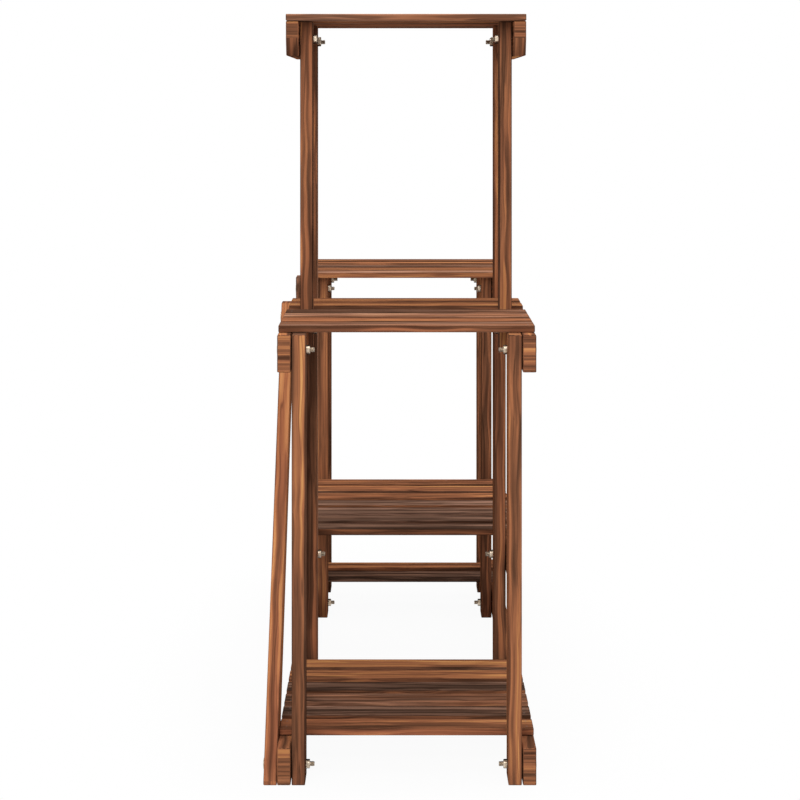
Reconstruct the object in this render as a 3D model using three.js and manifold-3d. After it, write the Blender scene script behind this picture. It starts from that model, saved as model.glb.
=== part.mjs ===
// Plant ladder stand: five slatted shelves on two flat side frames of bolted boards.
// Units are millimetres. X runs across the stand, Y along it, and Z is up.
// Seen from the front end (Y at its lowest), the braced side is on the left.

import * as THREE from 'three';
import { mergeVertices } from 'three/addons/utils/BufferGeometryUtils.js';
import Module from 'manifold-3d';

const wasm = await Module();
wasm.setup();

// --- Driving dimensions -------------------------------------------------------

// Rails, legs and braces are sawn from one board.
const BOARD_THICKNESS = 13;
const BOARD_WIDTH = 36;
const BOARD_EASE = 1;

// The slats are thinner, and as long as the stand is deep.
const SLAT_LENGTH = 250;
const SLAT_WIDTH = 33;
const SLAT_THICKNESS = 7;
const SLAT_EASE = 0.8;

// The legs stand a slit away from the rails. Everything else that rests lies closer.
const LEG_GAP = 1;
const SEAT_GAP = 0.3;

// Height of each shelf's upper face.
const BASE_TOP = 43.3;
const MIDDLE_TOP = 177.3;
const BENCH_TOP = 441.3;
const TOWER_TOP = 750;

// Where each column of legs starts along the stand. The first starts at zero.
const TOWER_FRONT = 180;
const TOWER_BACK = 305;
const BENCH_INNER = 660;
const BENCH_OUTER = 798;
const BASE_LENGTH = 838;

// The lower corners of overhanging rails are sawn off.
const RAIL_CLIP_RUN = 9;
const RAIL_CLIP_RISE = 18.5;

// Bolts with a low round head, a hexagon nut and a thread end that stands out.
const BOLT_RADIUS = 2.5;
const BOLT_HOLE_RADIUS = 3;
const BOLT_HEAD_RADIUS = 6;
const BOLT_HEAD_HEIGHT = 1.2;
const BOLT_POINT = 0.5;
const NUT_ACROSS_FLATS = 8;
const NUT_THICKNESS = 4;
const THREAD_BEYOND_NUT = 4.4;
const ROUND_SIDES = 12;

// A curve in an outline is divided into this many pieces for each half turn.
const HOLE_HALF_SIDES = 6;

// Shelves: the span of the two rails, how far the bolts are above a rail's lower edge,
// and which rails have their lower corners off.
const shelves = {
  base: { rail: 'base_rail', top: BASE_TOP, from: 0, to: BASE_LENGTH, boltUp: 15.5 },
  middle: { rail: 'middle_shelf_rail', top: MIDDLE_TOP, from: 298, to: 702, boltUp: 20 },
  frontBench: { rail: 'front_bench_rail', top: BENCH_TOP, from: 0, to: 344, boltUp: 20 },
  backBench: { rail: 'back_bench_rail', top: BENCH_TOP, from: 650, to: 862, boltUp: 20, clipped: true },
  tower: { rail: 'top_shelf_rail', top: TOWER_TOP, from: 161, to: 402, boltUp: 18, clipped: true },
};

// Rows of slats, numbered along the stand. The front bench has two rows, because
// the front legs of the tower rise between them.
const slatRows = [
  { name: 'front_tray_slat', shelf: 'base', first: 39.3, pitch: 45, count: 6 },
  { name: 'back_tray_slat', shelf: 'base', first: 700, pitch: 53, count: 2 },
  { name: 'middle_shelf_slat', shelf: 'middle', first: 343.5, pitch: 46.7, count: 7 },
  { name: 'front_bench_slat', shelf: 'frontBench', first: 21.5, pitch: 41.2, count: 4 },
  { name: 'tower_foot_slat', shelf: 'frontBench', first: 219, pitch: 51.5, count: 2 },
  { name: 'back_bench_slat', shelf: 'backBench', first: 644, pitch: 48, count: 5 },
  { name: 'top_shelf_slat', shelf: 'tower', first: 158.5, pitch: 43.7, count: 6 },
];

// Legs, each from the bottom of its lowest rail to the top of its highest one.
const legs = [
  { name: 'front_leg', from: 0, shelves: ['base', 'frontBench'] },
  { name: 'tower_front_leg', from: TOWER_FRONT, shelves: ['frontBench', 'tower'] },
  { name: 'tower_back_leg', from: TOWER_BACK, shelves: ['base', 'middle', 'frontBench', 'tower'] },
  { name: 'bench_inner_leg', from: BENCH_INNER, shelves: ['base', 'middle', 'backBench'] },
  { name: 'bench_outer_leg', from: BENCH_OUTER, shelves: ['base', 'backBench'] },
];

// Braces start at a bottom corner of the side frame and rise inwards to a bench rail.
const braces = [
  {
    name: 'front_brace', corner: 0, direction: 1, span: 344, slope: 1.325,
    bolts: [['front_leg', 'base'], ['tower_back_leg', 'frontBench']],
  },
  {
    name: 'back_brace', corner: BASE_LENGTH, direction: -1, span: BASE_LENGTH - BENCH_INNER, slope: 2.9,
    bolts: [['bench_outer_leg', 'base'], ['bench_inner_leg', 'backBench']],
  },
];
const BRACE_OVERRUN = 3;

const sides = [
  { name: 'left', sign: -1, braced: true },
  { name: 'right', sign: 1, braced: false },
];

// Distances from the middle plane to each layer of a side frame, working inwards
// from the outer face of the rail, which is flush with the ends of the slats.
const RAIL_OUTER = SLAT_LENGTH / 2;
const RAIL_MIDDLE = RAIL_OUTER - BOARD_THICKNESS / 2;
const LEG_MIDDLE = RAIL_MIDDLE - BOARD_THICKNESS - LEG_GAP;
const LEG_INNER = LEG_MIDDLE - BOARD_THICKNESS / 2;
const BRACE_MIDDLE = RAIL_MIDDLE + BOARD_THICKNESS + SEAT_GAP;
const BRACE_OUTER = BRACE_MIDDLE + BOARD_THICKNESS / 2;

// --- Colours --------------------------------------------------------------------

const WOOD_TONES = ['#8f5f41', '#7a4d36', '#a06a48', '#6b4636', '#96613f'];
const STEEL = new THREE.MeshStandardMaterial({ color: '#b9b3a0', roughness: 0.35, metalness: 1 });

let boardCount = 0;

// Neighbouring boards take different tones of the same brown stain.
function woodMaterial() {
  const color = WOOD_TONES[boardCount % WOOD_TONES.length];
  boardCount += 1;
  return new THREE.MeshStandardMaterial({ color, roughness: 0.6, metalness: 0 });
}

// --- Shelf and leg positions ----------------------------------------------------

function railTop(shelf) {
  return shelves[shelf].top - SLAT_THICKNESS - SEAT_GAP;
}

function railBottom(shelf) {
  return railTop(shelf) - BOARD_WIDTH;
}

function boltHeight(shelf) {
  return railBottom(shelf) + shelves[shelf].boltUp;
}

function boltAlong(leg) {
  return leg.from + BOARD_WIDTH / 2;
}

function isBraceBolt(leg, shelf) {
  return braces.some((brace) => brace.bolts.some(([name, level]) => name === leg.name && level === shelf));
}

// --- Boards ---------------------------------------------------------------------

// An outline cut from a board. The outline lies in the plane of X and Y, the
// board's thickness is centred on Z, and the edges of both faces are eased.
function boardGeometry(outline, thickness, ease, holes = []) {
  const shape = new THREE.Shape(outline.map(([u, v]) => new THREE.Vector2(u, v)));
  for (const [u, v] of holes) {
    shape.holes.push(new THREE.Path().absarc(u, v, BOLT_HOLE_RADIUS, 0, Math.PI * 2, true));
  }
  const geometry = new THREE.ExtrudeGeometry(shape, {
    depth: thickness - 2 * ease,
    bevelEnabled: true,
    bevelSize: ease,
    bevelOffset: -ease,
    bevelThickness: ease,
    bevelSegments: 1,
    curveSegments: HOLE_HALF_SIDES,
  });
  return geometry.translate(0, 0, ease - thickness / 2);
}

// Turns a board from lying flat to standing in a side frame: its outline then
// runs along Y and Z, and its thickness along X.
function standUp(geometry) {
  const x = new THREE.Vector3(1, 0, 0);
  const y = new THREE.Vector3(0, 1, 0);
  const z = new THREE.Vector3(0, 0, 1);
  return geometry.applyMatrix4(new THREE.Matrix4().makeBasis(y, z, x));
}

function rectangle(length, height) {
  return [[0, 0], [length, 0], [length, height], [0, height]];
}

// A rail's outline with both lower corners sawn off.
function clippedOutline(length) {
  return [
    [RAIL_CLIP_RUN, 0],
    [length - RAIL_CLIP_RUN, 0],
    [length, RAIL_CLIP_RISE],
    [length, BOARD_WIDTH],
    [0, BOARD_WIDTH],
    [0, RAIL_CLIP_RISE],
  ];
}

// A sloping strip, trimmed by the floor, by the rail's top, by the frame's end at
// its foot and by the far side of the leg at its head. The frame's corner is zero.
function braceOutline({ span, slope }, height) {
  const footprint = BOARD_WIDTH * Math.hypot(1, 1 / slope);
  const lowerEdge = footprint - BRACE_OVERRUN;
  return [
    [0, 0],
    [lowerEdge, 0],
    [span, (span - lowerEdge) * slope],
    [span, height],
    [height / slope - BRACE_OVERRUN, height],
    [0, BRACE_OVERRUN * slope],
  ];
}

// --- Bolts ----------------------------------------------------------------------

function toSolid(geometry) {
  const bare = geometry.index ? geometry.toNonIndexed() : geometry.clone();
  bare.deleteAttribute('normal');
  bare.deleteAttribute('uv');
  const merged = mergeVertices(bare, 1e-4);
  return new wasm.Manifold(new wasm.Mesh({
    numProp: 3,
    vertProperties: new Float32Array(merged.attributes.position.array),
    triVerts: new Uint32Array(merged.index.array),
  }));
}

function toGeometry(solid) {
  const mesh = solid.getMesh();
  const geometry = new THREE.BufferGeometry();
  geometry.setAttribute('position', new THREE.BufferAttribute(mesh.vertProperties, 3));
  geometry.setIndex(new THREE.BufferAttribute(mesh.triVerts, 1));
  geometry.computeVertexNormals();
  return geometry;
}

// One bolt with its nut run home, as one solid. It lies along X with the nut's
// seat at zero, the thread end on the negative side, and the head beyond its grip.
function boltSolid(grip) {
  const tip = -(NUT_THICKNESS + THREAD_BEYOND_NUT);
  const seat = grip;
  const profile = [
    [0, tip],
    [BOLT_RADIUS - BOLT_POINT, tip],
    [BOLT_RADIUS, tip + BOLT_POINT],
    [BOLT_RADIUS, seat],
    [BOLT_HEAD_RADIUS, seat],
    [BOLT_HEAD_RADIUS * 0.94, seat + BOLT_HEAD_HEIGHT * 0.5],
    [BOLT_HEAD_RADIUS * 0.6, seat + BOLT_HEAD_HEIGHT * 0.9],
    [0, seat + BOLT_HEAD_HEIGHT],
  ];
  const points = profile.map(([radius, along]) => new THREE.Vector2(radius, along));
  const shank = new THREE.LatheGeometry(points, ROUND_SIDES);
  const nutRadius = NUT_ACROSS_FLATS / 2 / Math.cos(Math.PI / 6);
  const nut = new THREE.CylinderGeometry(nutRadius, nutRadius, NUT_THICKNESS + SEAT_GAP, 6);
  nut.translate(0, -(NUT_THICKNESS - SEAT_GAP) / 2, 0);
  const alongX = new THREE.Matrix4().makeRotationZ(-Math.PI / 2);
  shank.applyMatrix4(alongX);
  nut.applyMatrix4(alongX);
  return toSolid(shank).add(toSolid(nut));
}

// The thickness of wood between a nut's seat and the head, with the gaps.
function boltGrip(throughBrace) {
  const outer = throughBrace ? BRACE_OUTER : RAIL_OUTER;
  return outer + SEAT_GAP - LEG_INNER;
}

// --- Pieces ---------------------------------------------------------------------

const stand = new THREE.Group();

function addPiece(name, geometry, material, x, y, z) {
  const piece = new THREE.Mesh(geometry, material);
  piece.name = name;
  piece.position.set(x, y, z);
  stand.add(piece);
  return piece;
}

function addRail(shelfName, side) {
  const shelf = shelves[shelfName];
  const holes = legs
    .filter((leg) => leg.shelves.includes(shelfName))
    .map((leg) => [boltAlong(leg) - shelf.from, boltHeight(shelfName) - railBottom(shelfName)]);
  const length = shelf.to - shelf.from;
  const outline = shelf.clipped ? clippedOutline(length) : rectangle(length, BOARD_WIDTH);
  const geometry = standUp(boardGeometry(outline, BOARD_THICKNESS, BOARD_EASE, holes));
  const x = side.sign * RAIL_MIDDLE;
  addPiece(`${shelf.rail}_${side.name}`, geometry, woodMaterial(), x, shelf.from, railBottom(shelfName));
}

// A leg is one solid with the bolts that it carries. Where a bolt also goes
// through a brace, the leg is only drilled, and the bolt is a piece of its own.
function addLeg(leg, side) {
  const bottom = railBottom(leg.shelves[0]);
  const height = railTop(leg.shelves.at(-1)) - bottom;
  const isOwnBolt = (shelf) => side.braced && isBraceBolt(leg, shelf);
  const holeHeights = leg.shelves.filter(isOwnBolt).map((shelf) => boltHeight(shelf) - bottom);
  const holes = holeHeights.map((along) => [BOARD_WIDTH / 2, along]);
  const board = standUp(boardGeometry(rectangle(BOARD_WIDTH, height), BOARD_THICKNESS, BOARD_EASE, holes));
  let solid = toSolid(board);
  for (const shelf of leg.shelves.filter((level) => !isOwnBolt(level))) {
    const bolt = boltSolid(boltGrip(false))
      .rotate([0, 0, side.sign > 0 ? 0 : 180])
      .translate([-side.sign * BOARD_THICKNESS / 2, BOARD_WIDTH / 2, boltHeight(shelf) - bottom]);
    solid = solid.add(bolt);
  }
  const x = side.sign * LEG_MIDDLE;
  addPiece(`${leg.name}_${side.name}`, toGeometry(solid), woodMaterial(), x, leg.from, bottom);
}

function addBrace(brace, side) {
  const height = railTop('frontBench');
  const outline = braceOutline(brace, height);
  const holes = brace.bolts.map(([legName, shelf]) => {
    const leg = legs.find(({ name }) => name === legName);
    return [(boltAlong(leg) - brace.corner) * brace.direction, boltHeight(shelf)];
  });
  const geometry = standUp(boardGeometry(outline, BOARD_THICKNESS, BOARD_EASE, holes));
  const piece = addPiece(brace.name, geometry, woodMaterial(), side.sign * BRACE_MIDDLE, brace.corner, 0);
  piece.rotation.z = brace.direction > 0 ? 0 : Math.PI;
}

function addBraceBolts(brace, side) {
  brace.bolts.forEach(([legName, shelf], index) => {
    const leg = legs.find(({ name }) => name === legName);
    const name = `${brace.name}_${index === 0 ? 'lower' : 'upper'}_bolt`;
    const seat = LEG_INNER - SEAT_GAP;
    const geometry = toGeometry(boltSolid(boltGrip(true) + SEAT_GAP));
    const bolt = addPiece(name, geometry, STEEL, side.sign * seat, boltAlong(leg), boltHeight(shelf));
    bolt.rotation.z = side.sign > 0 ? 0 : Math.PI;
  });
}

function addSlats({ name, shelf, first, pitch, count }) {
  const z = shelves[shelf].top - SLAT_THICKNESS / 2;
  for (let index = 0; index < count; index += 1) {
    const geometry = boardGeometry(rectangle(SLAT_LENGTH, SLAT_WIDTH), SLAT_THICKNESS, SLAT_EASE);
    const x = -SLAT_LENGTH / 2;
    addPiece(`${name}_${index + 1}`, geometry, woodMaterial(), x, first + index * pitch, z);
  }
}

for (const side of sides) {
  Object.keys(shelves).forEach((shelfName) => addRail(shelfName, side));
  legs.forEach((leg) => addLeg(leg, side));
}
for (const side of sides.filter(({ braced }) => braced)) {
  braces.forEach((brace) => addBrace(brace, side));
  braces.forEach((brace) => addBraceBolts(brace, side));
}
slatRows.forEach(addSlats);

// The origin goes on the floor under the middle of the whole stand.
const middle = new THREE.Box3().setFromObject(stand).getCenter(new THREE.Vector3());
stand.position.set(-middle.x, -middle.y, 0);

const plantStand = new THREE.Group();
plantStand.add(stand);

export default plantStand;
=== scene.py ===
# %% [markdown]
# # A plant ladder stand in stained wood
#
# The stand is a kit of sawn boards: rails, legs, slats and two diagonal braces, held by
# bolts and nails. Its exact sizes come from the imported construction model, so this file
# starts by loading that model. Every board here takes its place from a construction node
# and stands for it, with eased arrises, cut ends and grain that the plain solid lacks.

# %% Load the construction model
import math

import bpy
import numpy as np
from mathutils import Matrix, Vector


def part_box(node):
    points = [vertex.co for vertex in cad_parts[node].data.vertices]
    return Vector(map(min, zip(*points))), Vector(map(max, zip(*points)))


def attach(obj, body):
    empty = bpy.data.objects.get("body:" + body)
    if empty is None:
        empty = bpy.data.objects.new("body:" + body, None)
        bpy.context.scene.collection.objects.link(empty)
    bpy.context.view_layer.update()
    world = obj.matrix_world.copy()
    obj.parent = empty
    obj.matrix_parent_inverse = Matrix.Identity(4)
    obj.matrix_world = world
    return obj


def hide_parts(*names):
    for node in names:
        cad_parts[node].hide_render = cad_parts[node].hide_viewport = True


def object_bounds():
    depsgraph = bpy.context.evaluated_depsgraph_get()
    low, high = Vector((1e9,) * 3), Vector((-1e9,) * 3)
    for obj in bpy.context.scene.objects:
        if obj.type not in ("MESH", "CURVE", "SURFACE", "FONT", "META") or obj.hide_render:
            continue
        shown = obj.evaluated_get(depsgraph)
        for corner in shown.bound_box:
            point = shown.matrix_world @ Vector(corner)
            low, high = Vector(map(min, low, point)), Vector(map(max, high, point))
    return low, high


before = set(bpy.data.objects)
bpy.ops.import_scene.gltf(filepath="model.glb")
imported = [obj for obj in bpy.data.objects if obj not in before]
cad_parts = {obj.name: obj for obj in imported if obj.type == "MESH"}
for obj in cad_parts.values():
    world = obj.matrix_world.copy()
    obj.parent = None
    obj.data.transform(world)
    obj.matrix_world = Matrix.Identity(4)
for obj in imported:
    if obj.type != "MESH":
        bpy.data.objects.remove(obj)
cad_low, cad_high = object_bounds()
print("nodes:", len(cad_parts), "box:", [round(v, 4) for v in (*cad_low, *cad_high)])

# %% [markdown]
# ## Where things are
#
# Rails, legs and braces are sawn from one board, and the slats are thinner. Instead of
# typing sizes again, this cell measures a few nodes and works out the rest. The rail gives
# the board's size. A leg's node includes its bolts, so the leg's inner face is found from
# the bolts' tips, which stand out from it by the nut and the spare thread.

# %% Measure the stock from the frame
NUT_THICKNESS = 0.004
SPARE_THREAD = 0.0044
rail_low, rail_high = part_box("base_rail_right")
left_rail_low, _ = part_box("base_rail_left")
leg_low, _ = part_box("front_leg_right")
brace_low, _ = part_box("front_brace")
MIDDLE = (left_rail_low.x + rail_high.x) / 2
RAIL_OUTER = rail_high.x - MIDDLE
BOARD_THICKNESS = rail_high.x - rail_low.x
BOARD_WIDTH = rail_high.z - rail_low.z
LEG_INNER = leg_low.x - MIDDLE + NUT_THICKNESS + SPARE_THREAD
BRACE_OUTER = MIDDLE - brace_low.x
print("board:", round(BOARD_WIDTH, 4), "x", round(BOARD_THICKNESS, 4))
print("legs from", round(LEG_INNER, 4), "and braces to", round(BRACE_OUTER, 4), "off the middle")

# %% [markdown]
# ## The camera
#
# The photograph was taken straight along the stand, from a little over two metres, with
# the lens level and the picture cropped below the horizon. A level camera keeps upright
# boards upright, and the crop becomes a shift of the lens. The camera sits a few
# millimetres left of the middle, which is why a little more of one side shows.

# %% Place the camera
PHOTO_SIZE = 800
FOCAL_PIXELS = 2127
PRINCIPAL_PIXEL = (397.2, 97.0)
SENSOR = 36.0
EYE_DISTANCE = 2.05
EYE_HEIGHT = 0.6636
EYE_OFFSET = -0.0092


def add_camera():
    """A level camera that looks along +Y, at the photograph's distance, height and crop."""
    data = bpy.data.cameras.new("camera")
    data.sensor_width = SENSOR
    data.lens = FOCAL_PIXELS * SENSOR / PHOTO_SIZE
    data.shift_x = (PHOTO_SIZE / 2 - PRINCIPAL_PIXEL[0]) / PHOTO_SIZE
    data.shift_y = (PRINCIPAL_PIXEL[1] - PHOTO_SIZE / 2) / PHOTO_SIZE
    camera = bpy.data.objects.new("camera", data)
    camera.location = (MIDDLE + EYE_OFFSET, cad_low.y - EYE_DISTANCE, EYE_HEIGHT)
    camera.rotation_euler = (math.pi / 2, 0, 0)
    bpy.context.scene.collection.objects.link(camera)
    bpy.context.scene.camera = camera
    return camera


camera = add_camera()
print("camera at", [round(v, 3) for v in camera.location], "lens", round(camera.data.lens, 1))

# %% [markdown]
# ## Shader maths as arithmetic
#
# A material is a tree of nodes, and long chains of Math nodes are hard to read. This
# small class wraps one socket, so that adding or multiplying two wires adds the node that
# does it, and a mask reads as `1 - mask`. Any other node comes from one method, which
# sets the node's options first and then its sockets.


# %% A wire in a node tree
class Wire:
    """One output socket of a node tree. Arithmetic on wires adds Math nodes."""

    def __init__(self, tree, socket=None):
        self.tree = tree
        self.socket = socket

    def node(self, kind, settings=None, inputs=None, output=0):
        """Adds a shader node of this kind and returns a wire from one of its outputs."""
        made = self.tree.nodes.new("ShaderNode" + kind)
        for name, value in (settings or {}).items():
            if name == "stops":
                set_stops(made.color_ramp, value)
            else:
                setattr(made, name, value)
        for name, value in (inputs or {}).items():
            if isinstance(value, Wire):
                self.tree.links.new(value.socket, made.inputs[name])
            else:
                made.inputs[name].default_value = value
        return Wire(self.tree, made.outputs[output] if made.outputs else None)

    def math(self, operation, *values):
        return self.node("Math", {"operation": operation}, dict(enumerate(values)))

    def __add__(self, other):
        return self.math("ADD", self, other)

    __radd__ = __add__

    def __sub__(self, other):
        return self.math("SUBTRACT", self, other)

    def __rsub__(self, other):
        return self.math("SUBTRACT", other, self)

    def __mul__(self, other):
        return self.math("MULTIPLY", self, other)

    __rmul__ = __mul__

    def __abs__(self):
        return self.math("ABSOLUTE", self)

    def between(self, low, high):
        """Rises smoothly from 0 at low to 1 at high."""
        settings = {"interpolation_type": "SMOOTHSTEP"}
        return self.node("MapRange", settings, {"Value": self, "From Min": low, "From Max": high})

    def scaled(self, *factors):
        """A vector multiplied part by part."""
        return self.node("VectorMath", {"operation": "MULTIPLY"}, {0: self, 1: factors})

    def moved(self, shift):
        """A vector with another one added."""
        return self.node("VectorMath", {"operation": "ADD"}, {0: self, 1: shift})

    def noise(self, detail=0.0, roughness=0.5):
        """Noise from 0 to 1 at this vector, with features about one unit across."""
        inputs = {"Vector": self, "Scale": 1.0, "Detail": detail, "Roughness": roughness}
        return self.node("TexNoise", {}, inputs)

    def blend(self, first, second, kind="MIX"):
        """Two colours mixed by this wire: 0 gives the first and 1 the second."""
        settings = {"data_type": "RGBA", "blend_type": kind}
        return self.node("Mix", settings, {0: self, 6: first, 7: second}, output=2)


def set_stops(ramp, stops):
    """Gives a colour ramp its stops, each a place from 0 to 1 and a colour."""
    while len(ramp.elements) < len(stops):
        ramp.elements.new(1.0)
    for element, (place, colour) in zip(ramp.elements, stops):
        element.position = place
        element.color = colour


def colour_of(code):
    """A colour written as on a paint chart, #rrggbb, in the linear light that shaders use."""
    parts = np.array([int(code[i:i + 2], 16) / 255 for i in (1, 3, 5)])
    linear = np.where(parts <= 0.04045, parts / 12.92, ((parts + 0.055) / 1.055) ** 2.4)
    return (*linear.tolist(), 1.0)


print("mid stain in linear light:", [round(v, 3) for v in colour_of("#8a5b40")])

# %% [markdown]
# ## Stained wood
#
# The boards are a streaky hardwood under a matt brown stain. Close up it shows three things:
# broad soft bands from honey to near black, narrower streaks and a few dark lines inside
# the bands, and fine fibres and pores. All of them run along the board, so each is a noise
# that is stretched hard in that direction. The noise is read at the `log` attribute, which
# says where in the tree each face was sawn, so the grain follows a diagonal brace as well
# as a level slat. The `tone` attribute makes one board darker, greyer or redder than the
# next, and it also carries painted shade on eased edges and on some faces.

# %% The wood material
STAIN = [
    (0.08, "#3a2419"),
    (0.30, "#5c3d2c"),
    (0.42, "#744b35"),
    (0.52, "#87573c"),
    (0.62, "#9a6343"),
    (0.74, "#ae764a"),
    (0.95, "#c8935c"),
]
GREY_CAST = "#62493c"
RED_CAST = "#8c4f3b"
# Sizes across the grain and along it, in metres.
BAND = (0.012, 0.48)
STREAK = (0.0038, 0.25)
LINE = (0.0052, 0.33)
FIBRE = (0.0006, 0.020)
PATCH = (0.018, 0.16)
WANDER = (0.06, 0.075)
WANDER_BY = 0.008
# How much each of them lightens or darkens the stain, on the scale of the stain's stops.
BAND_CONTRAST = 0.9
STREAK_CONTRAST = 1.0
LINE_DEPTH = 0.20
FIBRE_CONTRAST = 0.08
PORE_DEPTH = 0.05
RED_STRENGTH = 0.4
GLOSS = 0.0
ROUGHNESS = 0.68
BUMP_STRENGTH = 0.3
BUMP_DISTANCE = 0.0002


def stretched(log, size, seed):
    """The log's place in units of one feature, so that noise there has features of that size."""
    across, along = size
    return log.scaled(1 / across, 1 / across, 1 / along).moved((seed, seed * 1.7, seed * 0.6))


def wandering(log):
    """The log's place with its grain lines swaying gently across as they run along."""
    place = stretched(log, WANDER, 3.1)
    sway = place.node("TexNoise", {}, {"Vector": place, "Scale": 1.0, "Detail": 1.0}, output=1)
    return log.moved(sway.moved((-0.5, -0.5, -0.5)).scaled(WANDER_BY, WANDER_BY, 0))


def wood_material():
    """Stained streaky hardwood, read at the log and tone attributes of a board."""
    material = bpy.data.materials.new("stained_wood")
    material.use_nodes = True
    tree = material.node_tree
    tree.nodes.clear()
    start = Wire(tree)
    log = wandering(start.node("Attribute", {"attribute_name": "log"}, output=1))
    tone = start.node("Attribute", {"attribute_name": "tone"}, output=1)
    parts = [tone.node("SeparateXYZ", {}, {0: tone}, output=i) for i in range(3)]
    lightness, greyness, redness = parts

    bands = stretched(log, BAND, 0.0).noise(1.0)
    streaks = stretched(log, STREAK, 17.3).noise(1.0, 0.45)
    patches = stretched(log, PATCH, 41.9).noise(1.0)
    ridge = abs(stretched(log, LINE, 71.7).noise(0.5) - 0.5)
    lines = (1 - ridge.between(0.0, 0.06)) * streaks.between(0.36, 0.54)
    fibres = stretched(log, FIBRE, 5.7).noise(2.0)
    pores = stretched(log, FIBRE, 88.0).noise(0.0).between(0.66, 0.74)

    level = 0.5 + (bands - 0.5) * BAND_CONTRAST + (streaks - 0.5) * STREAK_CONTRAST + lightness
    level = level - lines * LINE_DEPTH + (fibres - 0.5) * FIBRE_CONTRAST - pores * PORE_DEPTH
    stops = [(place, colour_of(code)) for place, code in STAIN]
    stain = level.node("ValToRGB", {"stops": stops}, {0: level})
    grey = (greyness + (patches - 0.5)).between(0.15, 0.95)
    red = (redness + (0.5 - patches) * 1.2).between(0.2, 0.95) * RED_STRENGTH
    cast = red.blend(stain, colour_of(RED_CAST), "COLOR")
    shade = grey.blend(cast, colour_of(GREY_CAST), "COLOR")

    height = (fibres - 0.5) * 0.5 - lines * 0.4 - pores * 0.8
    relief = {"Strength": BUMP_STRENGTH, "Distance": BUMP_DISTANCE, "Height": height}
    bump = height.node("Bump", {}, relief)
    roughness = ROUGHNESS - (streaks - 0.5) * 0.2 + pores * 0.1
    inputs = {"Base Color": shade, "Roughness": roughness, "Normal": bump}
    inputs["Specular IOR Level"] = GLOSS
    shader = start.node("BsdfPrincipled", {}, inputs)
    start.node("OutputMaterial", {}, {"Surface": shader})
    return material


WOOD = wood_material()
print("wood nodes:", len(WOOD.node_tree.nodes))

# %% [markdown]
# ## Zinc-plated steel
#
# Bolts and nuts for outdoor furniture are plated, with a faint warm cast and small cloudy
# differences in gloss. The metal is almost a mirror, so most of its look comes from what
# it reflects, and the material adds the tint and the clouding. The `groove` attribute of
# bolts and nuts says where it is dark: grease stays in the threads, and the nuts' upper
# and lower facets get painted shade that stands in for a dark reflection.

# %% The steel material
PLATING = "#dccbb6"
PLATING_DULL = "#a39078"
GREASE_AND_SHADE = "#2a211a"
CLOUD = 0.003


def steel_material():
    """Warm zinc plating with cloudy gloss; the groove attribute marks thread grease and painted
    shade.
    """
    material = bpy.data.materials.new("zinc_plated_steel")
    material.use_nodes = True
    tree = material.node_tree
    tree.nodes.clear()
    start = Wire(tree)
    place = start.node("TexCoord", {}, output=3)
    groove = start.node("Attribute", {"attribute_name": "groove"}, output=2)
    clouds = place.scaled(1 / CLOUD, 1 / CLOUD, 1 / CLOUD).noise(3.0, 0.6)
    plating = clouds.between(0.35, 0.7).blend(colour_of(PLATING), colour_of(PLATING_DULL))
    # Dark where the groove attribute says: grease in bolt threads, painted shade on nut facets.
    colour = groove.between(0.35, 0.9).blend(plating, colour_of(GREASE_AND_SHADE))
    roughness = 0.18 + clouds * 0.2 + groove * 0.3
    inputs = {"Base Color": colour, "Metallic": 1.0, "Roughness": roughness}
    shader = start.node("BsdfPrincipled", {}, inputs)
    start.node("OutputMaterial", {}, {"Surface": shader})
    return material


STEEL = steel_material()
print("steel nodes:", len(STEEL.node_tree.nodes))

# %% [markdown]
# ## A board as a lofted section
#
# A sawn board is a rounded rectangle carried along a straight line. The section's two
# long edges may change on the way: a rail's lower corner is sawn off, and a brace is a
# slanting strip that is trimmed by the frame. So one function takes the lower and upper
# edge at each station along the board, and the same loft makes every board of the stand.
# Near both ends the section shrinks by a quarter circle, which rounds the end arrises.

# %% The loft
EASE = 0.001
CORNER_POINTS = 4
END_ANGLES = np.radians(np.linspace(15, 90, 4))
STATION_STEP = 0.03


def section_columns():
    """Angles and corner signs of the points round a rounded rectangle, as three arrays."""
    quarter = np.linspace(0, math.pi / 2, CORNER_POINTS)
    angles = np.concatenate([quarter + turn * math.pi / 2 for turn in range(4)])
    sign_across = np.repeat([1, -1, -1, 1], CORNER_POINTS)
    sign_through = np.repeat([1, 1, -1, -1], CORNER_POINTS)
    return angles, sign_across, sign_through


def stations_of(length, kinks=()):
    """Places along a board, and how far the section is inset there.

    The inset is ease * (1 - sin(angle)) where the place is ease * (cos(first) - cos(angle))
    from an end, and nothing in between.
    """
    ends = EASE * (math.cos(END_ANGLES[0]) - np.cos(END_ANGLES))
    inset = EASE * (1 - np.sin(END_ANGLES))
    count = max(2, round(length / STATION_STEP))
    inner = np.linspace(ends[-1], length - ends[-1], count)[1:-1]
    inside = [kink for kink in kinks if ends[-1] < kink < length - ends[-1]]
    inner = np.unique(np.concatenate([inner, inside]))
    places = np.concatenate([ends, inner, length - ends[::-1]])
    insets = np.concatenate([inset, np.zeros(len(inner)), inset[::-1]])
    return places, insets


def loft(places, insets, low, high, thickness):
    """Points of a board as an array [station, column, (across, through, along)].

    Each section is a rounded rectangle from low to high across and half the thickness to
    each side: corner centre plus (ease - inset) times the unit circle.
    """
    angles, sign_across, sign_through = section_columns()
    radius = (EASE - insets)[:, None]
    centre = np.where(sign_across > 0, (high - EASE)[:, None], (low + EASE)[:, None])
    across = centre + radius * np.cos(angles)
    through = sign_through * (thickness / 2 - EASE) + radius * np.sin(angles)
    along = np.broadcast_to(places[:, None], across.shape)
    return np.stack([across, through, along], axis=-1)


print("points round a board:", len(section_columns()[0]))
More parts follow.
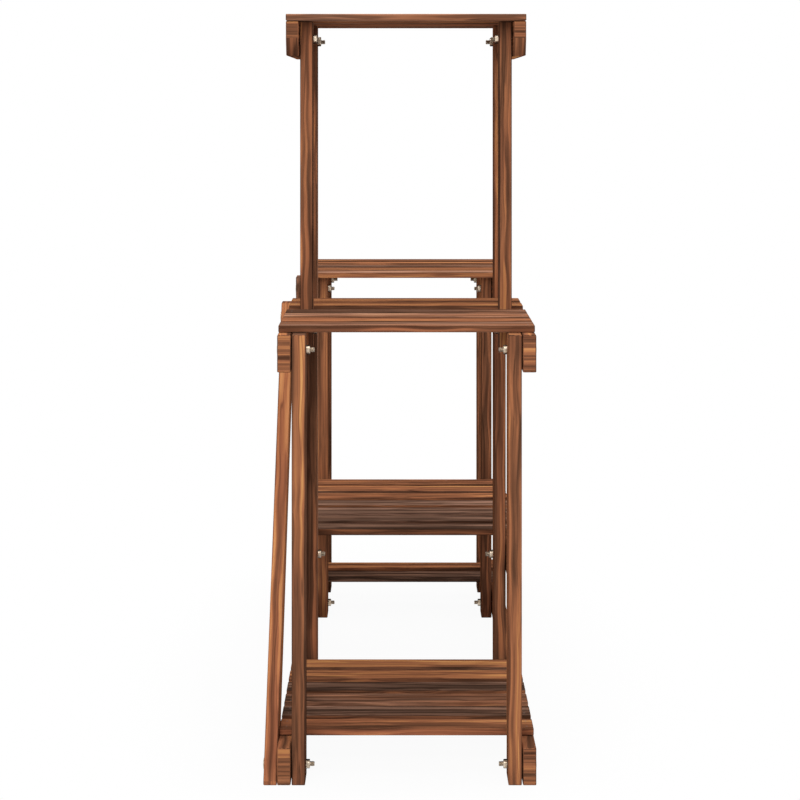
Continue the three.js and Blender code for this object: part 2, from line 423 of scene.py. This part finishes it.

# %% [markdown]
# ## From a loft to a mesh
#
# The loft becomes a mesh by joining neighbouring points into quads and closing both ends.
# Each face also gets its place in the log. On the long faces that is simply the board's
# own place. On a cut end the stripes of the growth rings run straight through the
# thickness, and on a sloping cut they run down it, so there one direction is squeezed.
# The faces of the eased edges are painted a little darker: painted shade along the
# edges and joints.

# %% The mesh of a board
END_SQUEEZE = 0.02
END_RINGS = 1.7
CUT_SQUEEZE = 0.06
CAP_SHARE = 0.95
SLOPE_SHARE = 0.5
FLAT_SHARE = 0.995
# Painted shade on the eased edges: their faces are this much darker.
ARRIS_PAINTED_SHADE = np.array([0.09, 0, 0])


def grid_faces(rows, columns):
    """Quads of a tube of rows by columns points, and one polygon for each end."""
    row, column = np.meshgrid(np.arange(rows - 1), np.arange(columns), indexing="ij")
    following = (column + 1) % columns
    quads = np.stack(
        [
            row * columns + column,
            row * columns + following,
            (row + 1) * columns + following,
            (row + 1) * columns + column,
        ],
        axis=-1,
    ).reshape(-1, 4)
    first = np.arange(columns)[::-1]
    last = np.arange(columns) + (rows - 1) * columns
    return quads.tolist() + [first.tolist(), last.tolist()]


def make_mesh(name, points, faces, smooth, material):
    """A mesh object at the origin from its points and faces."""
    mesh = bpy.data.meshes.new(name)
    mesh.from_pydata(points.reshape(-1, 3), [], faces)
    mesh.polygons.foreach_set("use_smooth", smooth)
    mesh.materials.append(material)
    mesh.update()
    piece = bpy.data.objects.new(name, mesh)
    bpy.context.scene.collection.objects.link(piece)
    return piece


def turned_back(vectors, tilt):
    """Vectors (across, through, along) turned so that a tilted board's grain runs along."""
    cosine, sine = math.cos(tilt), math.sin(tilt)
    return vectors @ np.array([[cosine, 0, -sine], [0, 1, 0], [sine, 0, cosine]]).T


def log_places(local, normals, tilt, offset):
    """Place in the log of each face corner, from local places and the face's normal there.

    Cut ends squeeze the direction through the board and crowd the rings across it, and
    sloping cuts squeeze the direction across.
    """
    places = turned_back(local, tilt)
    facing = np.abs(turned_back(normals, tilt))[:, 2]
    squeeze = np.ones_like(places)
    squeeze[facing > CAP_SHARE, 0] = END_RINGS
    squeeze[facing > CAP_SHARE, 1] = END_SQUEEZE
    sloping = (facing > SLOPE_SHARE) & (facing <= CAP_SHARE)
    squeeze[sloping, 0] = CUT_SQUEEZE
    return places * squeeze + offset


def add_board(name, node, axes, local, tilt, offset, face_tone, edge_tone):
    """A board piece from its loft. Axes name the frame's axis for across, through and along."""
    rows, columns = local.shape[:2]
    order = ["xyz".index(axis) for axis in axes]
    points = np.empty_like(local)
    points[..., order] = local
    faces = grid_faces(rows, columns)
    if np.linalg.det(np.eye(3)[order]) < 0:
        faces = [face[::-1] for face in faces]
    piece = make_mesh(name, points, faces, np.zeros(len(faces), bool), WOOD)
    mesh = piece.data
    count = len(mesh.polygons)
    normals = np.empty(count * 3)
    mesh.polygons.foreach_get("normal", normals)
    normals = normals.reshape(-1, 3)[:, order]
    straight = np.maximum(np.abs(normals), np.abs(turned_back(normals, tilt)))
    rounded = straight.max(axis=1) < FLAT_SHARE
    mesh.polygons.foreach_set("use_smooth", rounded)
    totals = np.empty(count, int)
    mesh.polygons.foreach_get("loop_total", totals)
    corners = np.empty(len(mesh.loops), int)
    mesh.loops.foreach_get("vertex_index", corners)
    per_corner = np.repeat(normals, totals, axis=0)
    log = log_places(local.reshape(-1, 3)[corners], per_corner, tilt, offset)
    narrow = np.abs(per_corner[:, 0]) > np.abs(per_corner[:, 1])
    tone = np.where(narrow[:, None], edge_tone, face_tone)
    # Painted shade along the eased edges.
    tone = tone - np.repeat(rounded, totals)[:, None] * ARRIS_PAINTED_SHADE
    for label, values in (("log", log), ("tone", tone)):
        attribute = mesh.attributes.new(label, "FLOAT_VECTOR", "CORNER")
        attribute.data.foreach_set("vector", values.astype(np.float32).ravel())
    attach(piece, "root")
    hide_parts(node)
    return piece


# %% [markdown]
# ## How each board was stained, and where shade is painted
#
# Boards from one pack differ: some are dark and grey-brown, some red, some honey. A tone
# is three numbers: how much lighter, how grey and how red. Boards whose tone shows in the
# photograph are named, with one tone for the wide faces and one for the narrow ones, and
# the others draw theirs from a seeded generator. The tone called shade is painted shade:
# it darkens the wide faces of some legs, whose inner sides lie in shade, and the narrow
# edges of some slats.

# %% Tones
TONES = {
    "plain": (0.01, 0.05, 0.35),
    "dark": (-0.14, 0.90, 0.10),
    "dusky": (-0.06, 0.55, 0.20),
    "umber": (-0.06, 0.05, 0.40),
    # Painted shade, for faces where shade falls.
    "shade": (-0.17, 0.45, 0.25),
    "drift": (0.05, 0.60, 0.15),
    "red": (0.00, 0.05, 0.80),
    "amber": (0.06, 0.00, 0.45),
    "honey": (0.14, 0.00, 0.25),
    "pale": (0.22, 0.00, 0.75),
}
# Where shade is named it is painted shade: on leg inner faces and slat front edges.
NAMED_TONES = {
    "front_tray_slat_1": ("plain", "red"),
    "front_tray_slat_2": ("dark", "plain"),
    "front_tray_slat_3": ("dusky", "dusky"),
    "front_tray_slat_4": ("dark", "honey"),
    "front_tray_slat_5": ("honey", "umber"),
    "front_tray_slat_6": ("honey", "shade"),
    "middle_shelf_slat_1": ("dark", "plain"),
    "middle_shelf_slat_2": ("dark", "dusky"),
    "middle_shelf_slat_3": ("dark", "dark"),
    "middle_shelf_slat_4": ("dark", "plain"),
    "middle_shelf_slat_5": ("amber", "umber"),
    "middle_shelf_slat_6": ("amber", "shade"),
    "middle_shelf_slat_7": ("amber", "umber"),
    "front_bench_slat_1": ("drift", "umber"),
    "front_bench_slat_2": ("amber", "plain"),
    "front_bench_slat_3": ("drift", "dusky"),
    "front_bench_slat_4": ("dusky", "plain"),
    "top_shelf_slat_1": ("drift", "shade"),
    "tower_foot_slat_1": ("honey", "umber"),
    "tower_foot_slat_2": ("honey", "umber"),
    "back_bench_slat_1": ("drift", "plain"),
    "back_tray_slat_1": ("dark", "dark"),
    "front_leg_left": ("shade", "umber"),
    "front_leg_right": ("plain", "plain"),
    "tower_front_leg_left": ("shade", "amber"),
    "tower_front_leg_right": ("shade", "amber"),
    "tower_back_leg_left": ("dusky", "umber"),
    "tower_back_leg_right": ("umber", "umber"),
    "bench_inner_leg_left": ("plain", "honey"),
    "bench_inner_leg_right": ("umber", "umber"),
    "base_rail_left": ("plain", "plain"),
    "base_rail_right": ("plain", "plain"),
    "front_bench_rail_left": ("plain", "plain"),
    "front_bench_rail_right": ("umber", "umber"),
    "top_shelf_rail_left": ("plain", "plain"),
    "top_shelf_rail_right": ("plain", "plain"),
    "front_brace": ("amber", "pale"),
}
luck = np.random.default_rng(7)
COMMON_TONES = ["plain", "plain", "red", "dusky", "umber"]


def cut_of(node):
    """Tones for the wide and narrow faces of a board, and where in the log it was sawn."""
    drawn = COMMON_TONES[luck.integers(len(COMMON_TONES))]
    offset = luck.uniform(0, 5, 3)
    face, edge = NAMED_TONES.get(node, (drawn, drawn))
    return np.array(TONES[face]), np.array(TONES[edge]), offset


# %% [markdown]
# ## Rails
#
# A rail stands on edge. Where it overhangs its legs its lower corners are sawn off, so
# the lower edge of the section climbs near each end.

# %% Make the rails
RAIL_CLIP_RUN = 0.009
RAIL_CLIP_RISE = 0.0185
SHELF_RAILS = ["base", "middle_shelf", "front_bench", "back_bench", "top_shelf"]
CLIPPED_RAILS = ["back_bench", "top_shelf"]
SIDES = {"left": -1, "right": 1}


def add_rail(shelf, side):
    """One rail: its lower edge is rise * (1 - place / run) near a clipped end, then level."""
    node = f"{shelf}_rail_{side}"
    low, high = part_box(node)
    length = high.y - low.y
    run = RAIL_CLIP_RUN if shelf in CLIPPED_RAILS else 0
    places, insets = stations_of(length, [run, length - run])
    from_end = np.minimum(places, length - places)
    lower = np.clip(1 - from_end / run, 0, 1) * RAIL_CLIP_RISE if run else np.zeros_like(places)
    upper = np.full_like(places, high.z - low.z)
    local = loft(places, insets, lower, upper, BOARD_THICKNESS)
    local += [low.z, (low.x + high.x) / 2, low.y]
    face, edge, offset = cut_of(node)
    return add_board(f"{node}_board", node, "zxy", local, 0, offset, face, edge)


rails = [add_rail(shelf, side) for shelf in SHELF_RAILS for side in SIDES]
print("rails:", len(rails))

# %% [markdown]
# ## Legs
#
# A leg stands upright inside the rails. The construction's leg carries its bolts, so only
# its height and its place along the stand are read from the frame, and its place across
# comes from the first cell.

# %% Make the legs
LEGS = ["front_leg", "tower_front_leg", "tower_back_leg", "bench_inner_leg", "bench_outer_leg"]


def add_leg(leg, side):
    """One leg, upright along Z."""
    node = f"{leg}_{side}"
    low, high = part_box(node)
    places, insets = stations_of(high.z - low.z)
    lower = np.zeros_like(places)
    upper = np.full_like(places, high.y - low.y)
    local = loft(places, insets, lower, upper, BOARD_THICKNESS)
    middle = MIDDLE + SIDES[side] * (LEG_INNER + BOARD_THICKNESS / 2)
    local += [low.y, middle, low.z]
    face, edge, offset = cut_of(node)
    return add_board(f"{node}_board", node, "yxz", local, 0, offset, face, edge)


legs = [add_leg(leg, side) for leg in LEGS for side in SIDES]
print("legs:", len(legs))

# %% [markdown]
# ## Braces
#
# A brace is a slanting strip, sawn off level with the floor and the rail's top, and
# upright at the frame's end and at the far side of the leg that it reaches. Seen as
# level sections from the floor up, its two edges are straight lines that are held
# between those limits.

# %% Make the braces
BRACE_SLOPES = {"front_brace": 1.325, "back_brace": 2.9}
BRACE_OVERRUN = 0.003


def add_brace(node, slope):
    """One brace, held inside the frame.

    Its edges are at height / slope - overrun and a strip's width further.
    """
    low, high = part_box(node)
    height = high.z - low.z
    span = high.y - low.y
    footprint = BOARD_WIDTH * math.hypot(1, 1 / slope)
    kinks = [BRACE_OVERRUN * slope, (span + BRACE_OVERRUN - footprint) * slope]
    places, insets = stations_of(height, kinks)
    near = np.maximum(places / slope - BRACE_OVERRUN, 0)
    far = np.minimum(places / slope - BRACE_OVERRUN + footprint, span)
    rises_forward = node == "front_brace"
    lower, upper = (near, far) if rises_forward else (span - far, span - near)
    local = loft(places, insets, lower, upper, BOARD_THICKNESS)
    local += [low.y, (low.x + high.x) / 2, low.z]
    lean = math.atan(1 / slope)
    face, edge, offset = cut_of(node)
    tilt = lean if rises_forward else -lean
    return add_board(f"{node}_board", node, "yxz", local, tilt, offset, face, edge)


braces = [add_brace(node, slope) for node, slope in BRACE_SLOPES.items()]
print("braces:", [piece.name for piece in braces])

# %% [markdown]
# ## Slats
#
# The slats are thin and lie flat across the rails, with their ends flush with the outer
# faces of the rails. They are plain rounded boards, so the same loft makes them. Each is
# a hair thinner than its node, which leaves room for the nail heads under its top.

# %% Make the slats
NAIL_PROUD = 0.00006
SLAT_ROWS = {
    "front_tray_slat": 6,
    "back_tray_slat": 2,
    "middle_shelf_slat": 7,
    "front_bench_slat": 4,
    "tower_foot_slat": 2,
    "back_bench_slat": 5,
    "top_shelf_slat": 6,
}


def add_slat(node):
    """One slat, along X."""
    low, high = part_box(node)
    places, insets = stations_of(high.x - low.x)
    lower = np.zeros_like(places)
    upper = np.full_like(places, high.y - low.y)
    thickness = high.z - low.z - NAIL_PROUD
    local = loft(places, insets, lower, upper, thickness)
    local += [low.y, low.z + thickness / 2, low.x]
    face, edge, offset = cut_of(node)
    return add_board(f"{node}_board", node, "yzx", local, 0, offset, face, edge)


slats = [add_slat(f"{row}_{i + 1}") for row, count in SLAT_ROWS.items() for i in range(count)]
print("slats:", len(slats))

# %% [markdown]
# ## Bolts and nuts
#
# Each bolt has a low round head outside, goes through the rail and the leg, and ends in
# a threaded tail beyond its nut. Turned shapes are a radius for each place along the
# axis and each angle round it. For the thread the radius is a triangle wave of both, and
# for the nut it is the smaller of a hexagon and two chamfer cones.

# %% Turned steel
BOLT_RADIUS = 0.0025
HEAD_RADIUS = 0.006
HEAD_HEIGHT = 0.0013
HEAD_RIM = 0.0002
THREAD_PITCH = 0.001
THREAD_DEPTH = 0.0005
THREAD_START = 0.003
STEPS_PER_TURN = 8
NUT_ACROSS_FLATS = 0.008
NUT_CHAMFER = 0.0007
NUT_LIP = 0.0004
TIP_CHAMFER = 0.0006
BOLT_SIDES = 24
NUT_SIDES = 48


def turned(radius, along, sides):
    """Points [place, side, xyz] of a turned shape along +X, for an array of radii."""
    angle = np.linspace(0, 2 * math.pi, sides, endpoint=False)
    across = radius * np.cos(angle)
    up = radius * np.sin(angle)
    return np.stack([np.broadcast_to(along[:, None], across.shape), across, up], axis=-1)


def bolt_points(grip):
    """A bolt and how deep in a groove each point is, from 0 to 1.

    The nut's seat is at zero: the tail is at negative places and the head beyond the grip.
    The thread's depth is a triangle wave of place / pitch minus the turn.
    """
    angle = np.linspace(0, 2 * math.pi, BOLT_SIDES, endpoint=False)
    tip = -(NUT_THICKNESS + SPARE_THREAD)
    thread = np.arange(tip, THREAD_START, THREAD_PITCH / STEPS_PER_TURN)
    phase = (thread[:, None] / THREAD_PITCH - angle / (2 * math.pi)) % 1
    groove = np.abs(2 * phase - 1)
    room = BOLT_RADIUS - TIP_CHAMFER + (thread - tip)[:, None]
    radius = np.minimum(BOLT_RADIUS - THREAD_DEPTH * groove, room)
    bow = np.linspace(0, math.pi / 2, 9)[:-1]
    rim = grip + HEAD_RIM
    dome = np.stack([HEAD_RADIUS * np.cos(bow), rim + (HEAD_HEIGHT - HEAD_RIM) * np.sin(bow)], 1)
    seat = [[BOLT_RADIUS, THREAD_START], [BOLT_RADIUS, grip], [HEAD_RADIUS - HEAD_RIM, grip]]
    shank = np.concatenate([seat, dome])
    radii = np.concatenate([radius, np.repeat(shank[:, :1], BOLT_SIDES, axis=1)])
    grease_and_shade = np.concatenate([groove, np.zeros((len(shank), BOLT_SIDES))])
    return turned(radii, np.concatenate([thread, shank[:, 1]]), BOLT_SIDES), grease_and_shade


def nut_points():
    """A hexagon nut and how much painted shade each point gets, from 0 to 1.

    The seat is at zero and the body at negative places, with min(hexagon, cone) as radius.
    The upper and lower facets get painted shade for a dark reflection: sin(angle) cubed.
    """
    angle = np.linspace(0, 2 * math.pi, NUT_SIDES, endpoint=False)
    folded = (angle + math.pi / 6) % (math.pi / 3) - math.pi / 6
    hexagon = NUT_ACROSS_FLATS / 2 / np.cos(folded)
    steps = NUT_THICKNESS * np.array([0, 0.06, 0.13, 0.2, 0.8, 0.87, 0.94, 1])
    from_face = np.minimum(steps, NUT_THICKNESS - steps)[:, None]
    corner = NUT_ACROSS_FLATS / 2 / math.cos(math.pi / 6)
    outside = np.minimum(hexagon, corner - NUT_CHAMFER + from_face * 1.6)
    bore = np.full((1, NUT_SIDES), BOLT_RADIUS)
    lip = bore + NUT_LIP
    radii = np.concatenate([bore, lip, outside, lip, bore])
    along = np.concatenate([[NUT_LIP, 0], steps, [NUT_THICKNESS, NUT_THICKNESS - NUT_LIP]])
    # Painted shade on the upper and lower facets, standing in for a dark reflection.
    painted_facet_shade = np.broadcast_to(np.abs(np.sin(angle)) ** 3, radii.shape)
    return turned(radii, along - NUT_THICKNESS, NUT_SIDES), painted_facet_shade


def place_turned(points, seat, sign, along, height):
    """Sets a turned shape on its seat, given a half turn about the upright on the left."""
    placed = points * [sign, sign, 1]
    return placed + [MIDDLE + sign * seat, along, height]


def add_turned(name, points, grease_and_shade, ring):
    """A steel piece. A ring is closed on itself through its bore, and a rod by its two ends."""
    rows, columns = points.shape[:2]
    faces = grid_faces(rows, columns)
    if ring:
        column = np.arange(columns)
        following = (column + 1) % columns
        last = (rows - 1) * columns
        bore = np.stack([last + column, last + following, following, column], axis=-1)
        faces = faces[:-2] + bore.tolist()
    piece = make_mesh(name, points, faces, np.ones(len(faces), bool), STEEL)
    # The groove attribute: thread grease on a bolt, painted shade on a nut.
    attribute = piece.data.attributes.new("groove", "FLOAT", "POINT")
    attribute.data.foreach_set("value", grease_and_shade.astype(np.float32).ravel())
    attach(piece, "root")
    return piece


print("bolt points:", bolt_points(0.026)[0].shape, "nut points:", nut_points()[0].shape)

# %% [markdown]
# ## Where the bolts go
#
# A bolt passes wherever a leg crosses a rail, halfway across the leg. Each shelf's rails
# are drilled at their own height. Where a brace lies over the joint the bolt is longer,
# and its head lands on the brace.

# %% Make the bolts and nuts
BOLT_UP = {
    "base": 0.0155,
    "middle_shelf": 0.020,
    "front_bench": 0.020,
    "back_bench": 0.020,
    "top_shelf": 0.018,
}
LEG_SHELVES = {
    "front_leg": ["base", "front_bench"],
    "tower_front_leg": ["front_bench", "top_shelf"],
    "tower_back_leg": ["base", "middle_shelf", "front_bench", "top_shelf"],
    "bench_inner_leg": ["base", "middle_shelf", "back_bench"],
    "bench_outer_leg": ["base", "back_bench"],
}
BRACE_BOLTS = {
    ("front_leg", "base"): "front_brace_lower_bolt",
    ("tower_back_leg", "front_bench"): "front_brace_upper_bolt",
    ("bench_outer_leg", "base"): "back_brace_lower_bolt",
    ("bench_inner_leg", "back_bench"): "back_brace_upper_bolt",
}


def add_fastening(leg, shelf, side):
    """The bolt and the nut at one crossing of a leg and a rail."""
    sign = SIDES[side]
    leg_low, leg_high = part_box(f"{leg}_{side}")
    rail_low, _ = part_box(f"{shelf}_rail_{side}")
    node = BRACE_BOLTS.get((leg, shelf)) if side == "left" else None
    grip = (BRACE_OUTER if node else RAIL_OUTER) - LEG_INNER
    spot = (LEG_INNER, sign, (leg_low.y + leg_high.y) / 2, rail_low.z + BOLT_UP[shelf])
    points, grease_and_shade = bolt_points(grip)
    name = node or f"{leg}_{shelf}_bolt_{side}"
    bolt = add_turned(name + "_steel", place_turned(points, *spot), grease_and_shade, ring=False)
    # A nut's values are painted shade on its upper and lower facets.
    points, grease_and_shade = nut_points()
    nut = add_turned(f"{leg}_{shelf}_nut_{side}", place_turned(points, *spot), grease_and_shade, ring=True)
    if node:
        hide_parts(node)
    return [bolt, nut]


fastenings = [
    piece
    for leg, shelves in LEG_SHELVES.items()
    for shelf in shelves
    for side in SIDES
    for piece in add_fastening(leg, shelf, side)
]
print("bolts and nuts:", len(fastenings))

# %% [markdown]
# ## Nails
#
# Two small nails hold each end of a slat down on its rail. They are driven flush before
# the staining, so only a round head with a soft edge shows, as dark as the wood round it.
# The nails of one row of slats are one mesh.

# %% Make the nails
NAIL_RADIUS = 0.0009
NAIL_SUNK = 0.0012
NAIL_SHARES = (0.24, 0.76)
NAIL_SIDES = 12
STAINED_HEAD = "#5a3b2b"
STAINED_RIM = "#3d281d"


def nail_material():
    """Steel under stain: mottled brown, with the stain's dull gloss."""
    material = bpy.data.materials.new("stained_nail")
    material.use_nodes = True
    tree = material.node_tree
    tree.nodes.clear()
    start = Wire(tree)
    place = start.node("TexCoord", {}, output=3)
    mottle = place.scaled(1 / NAIL_RADIUS, 1 / NAIL_RADIUS, 1 / NAIL_RADIUS).noise(1.0)
    colour = mottle.between(0.35, 0.65).blend(colour_of(STAINED_RIM), colour_of(STAINED_HEAD))
    inputs = {"Base Color": colour, "Roughness": 0.5 + mottle * 0.2}
    shader = start.node("BsdfPrincipled", {}, inputs)
    start.node("OutputMaterial", {}, {"Surface": shader})
    return material


def nail_points():
    """A nail's head on a stub, along Z: radius * sin(angle) at proud * cos(angle)."""
    angle = np.linspace(0.2, math.pi / 2, 4)
    radii = NAIL_RADIUS * np.append(np.sin(angle), 1.0)
    heights = np.append(NAIL_PROUD * np.cos(angle), -NAIL_SUNK)
    rod = turned(radii[::-1, None] * np.ones((1, NAIL_SIDES)), heights[::-1], NAIL_SIDES)
    return rod[..., [1, 2, 0]]


def add_nails(row, count, material):
    """All nails of one row of slats, as one piece."""
    one = nail_points()
    rows, columns = one.shape[:2]
    faces = grid_faces(rows, columns)
    points, all_faces = [], []
    for i in range(count):
        low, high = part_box(f"{row}_{i + 1}")
        for sign in SIDES.values():
            for share in NAIL_SHARES:
                x = MIDDLE + sign * (RAIL_OUTER - BOARD_THICKNESS / 2)
                spot = [x, low.y + share * (high.y - low.y), high.z - NAIL_PROUD]
                base = len(points) * rows * columns
                points.append((one + spot).reshape(-1, 3))
                all_faces += [[corner + base for corner in face] for face in faces]
    smooth = np.ones(len(all_faces), bool)
    piece = make_mesh(f"{row}_nails", np.concatenate(points), all_faces, smooth, material)
    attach(piece, "root")
    return piece


NAIL = nail_material()
nails = [add_nails(row, count, NAIL) for row, count in SLAT_ROWS.items()]
print("rows of nails:", len(nails))

# %% [markdown]
# ## Floor, world and lamps
#
# The photograph has a plain white ground and soft light from above and in front. The
# floor is pale and takes the stand's shadow, but the camera sees mostly its own white, so
# that the shadow stays faint, and far from the stand it sees nothing else. The world is
# white where the camera or a reflection sees it, and dimmer where it lights the wood.

# %% The studio
FLOOR_SIZE = 12.0
FLOOR_COLOUR = (0.62, 0.62, 0.62, 1.0)
WHITE = (1.0, 1.0, 1.0, 1.0)
FLOOR_OWN_WHITE = 0.95
SHADOW_REACH = (0.34, 0.80)
SHADOW_FADE = (0.55, 1.0)
WORLD_LIGHT = 0.55
LAMP_AIM = (0, 0, 0.35)


def seen_directly(start):
    """1 for rays from the camera, from a glossy reflection or through glass, and 0 for others."""
    camera_ray = start.node("LightPath", output=0)
    glossy_ray = start.node("LightPath", output=3)
    transmission_ray = start.node("LightPath", output=6)
    total = camera_ray + glossy_ray + transmission_ray
    return total.math("MINIMUM", total, 1.0)


def add_floor():
    """A pale square floor under the stand."""
    half = FLOOR_SIZE / 2
    corners = np.array([[-half, -half, 0], [half, -half, 0], [half, half, 0], [-half, half, 0]])
    material = bpy.data.materials.new("pale_floor")
    material.use_nodes = True
    material.node_tree.nodes.clear()
    start = Wire(material.node_tree)
    across, along = SHADOW_REACH
    place = start.node("TexCoord", {}, output=3).scaled(1 / across, 1 / along, 0)
    length = place.node("VectorMath", {"operation": "LENGTH"}, {0: place}, output=1)
    away = length.between(*SHADOW_FADE)
    matt = start.node("BsdfDiffuse", {}, {"Color": FLOOR_COLOUR})
    glow = start.node("Emission", {}, {"Color": WHITE, "Strength": 1.0})
    share = seen_directly(start) * (FLOOR_OWN_WHITE + away * (1 - FLOOR_OWN_WHITE))
    mixed = start.node("MixShader", {}, {0: share, 1: matt, 2: glow})
    start.node("OutputMaterial", {}, {"Surface": mixed})
    floor = make_mesh("floor", corners, [[0, 1, 2, 3]], [False], material)
    return floor


def set_world():
    """A white world that lights the wood at its own strength."""
    world = bpy.data.worlds.new("studio")
    bpy.context.scene.world = world
    world.use_nodes = True
    world.node_tree.nodes.clear()
    start = Wire(world.node_tree)
    strength = WORLD_LIGHT + seen_directly(start) * (1 - WORLD_LIGHT)
    background = start.node("Background", {}, {"Color": WHITE, "Strength": strength})
    start.node("OutputWorld", {}, {"Surface": background})


def add_lamp(name, place, size, power):
    """A square soft lamp at a place, turned towards the stand."""
    data = bpy.data.lights.new(name, "AREA")
    data.size = size
    data.energy = power
    lamp = bpy.data.objects.new(name, data)
    lamp.location = place
    backwards = Vector(place) - Vector(LAMP_AIM)
    lamp.rotation_euler = backwards.to_track_quat("Z", "Y").to_euler()
    bpy.context.scene.collection.objects.link(lamp)
    return lamp


floor = add_floor()
set_world()
lamps = [
    add_lamp("key_lamp", (-0.5, -3.2, 2.3), 2.4, 78),
    add_lamp("right_lamp", (2.6, -0.6, 1.8), 1.6, 16),
    add_lamp("back_lamp", (0.8, 2.8, 2.4), 2.0, 30),
    add_lamp("top_lamp", (0.1, -0.1, 3.3), 2.0, 60),
]
bpy.context.scene.view_settings.view_transform = "Standard"
print("lamps:", [lamp.name for lamp in lamps])
